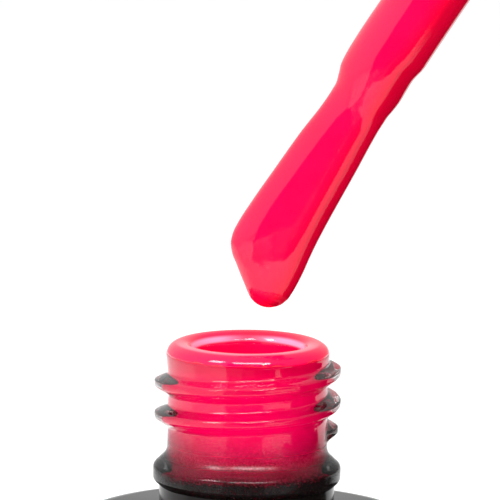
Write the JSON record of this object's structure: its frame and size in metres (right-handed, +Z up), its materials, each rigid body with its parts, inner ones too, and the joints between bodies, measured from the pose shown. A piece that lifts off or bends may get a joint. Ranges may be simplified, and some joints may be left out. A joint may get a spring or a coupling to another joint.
{
  "type": "nail polish bottle",
  "caption": "Round black-lacquered glass bottle of gel nail polish, open, with its screw cap and flat brush held leaning over the threaded mouth, a drop of polish at the tip.",
  "frame": {"origin": "centre of the ring that the bottle stands on", "axes": "+Z up the bottle's axis, out of the neck; the brush leans towards +X over the mouth; -Y is the front"},
  "size_m": [0.0626, 0.028, 0.1356],
  "materials": {
    "glass": "clear, glossy",
    "black_lacquer": "sprayed black lacquer, glossy, fading to specks on the neck",
    "polish": "wet hot pink gel",
    "label": "matte, blank",
    "stem_plastic": "black polyethylene, satin",
    "anchor_brass": "drawn wire",
    "bristle": "nylon filaments",
    "washer": "foamed polyethylene",
    "inner_cap_plastic": "moulded black polypropylene",
    "cap_lacquer": "glossy black",
    "shade_print": "printed hot pink disc"
  },
  "bodies": {
    "bottle": {"glass_bottle": "glass", "lacquer_coat": "black_lacquer", "polish_fill": "polish", "neck_polish_film": "polish", "base_label": "label"},
    "drop": {"polish_bead": "polish"},
    "brush": {"brush_stem": "stem_plastic", "tuft_anchor": "anchor_brass", "bristle_tuft": "bristle", "stem_polish_coat": "polish", "tuft_polish_coat": "polish", "seal_washer": "washer"},
    "cap": {"inner_cap": "inner_cap_plastic", "outer_cap": "cap_lacquer", "shade_dot": "shade_print"}
  },
  "joints": [
    {"name": "brush_lift", "type": "slide", "parent": "bottle", "child": "drop", "axis": [0, 0, 1], "range_m": [-0.003, 0.06]},
    {"name": "brush_tilt", "type": "hinge", "parent": "drop", "child": "brush", "pos_m": [0.0014, 0, 0.0645], "axis": [0, 1, 0], "range_deg": [-32.4, 12.6]},
    {"name": "cap_turn", "type": "hinge", "parent": "brush", "child": "cap", "pos_m": [0.02977, 0, 0.11181], "axis": [0.5358, 0, 0.8443], "continuous": true}
  ]
}
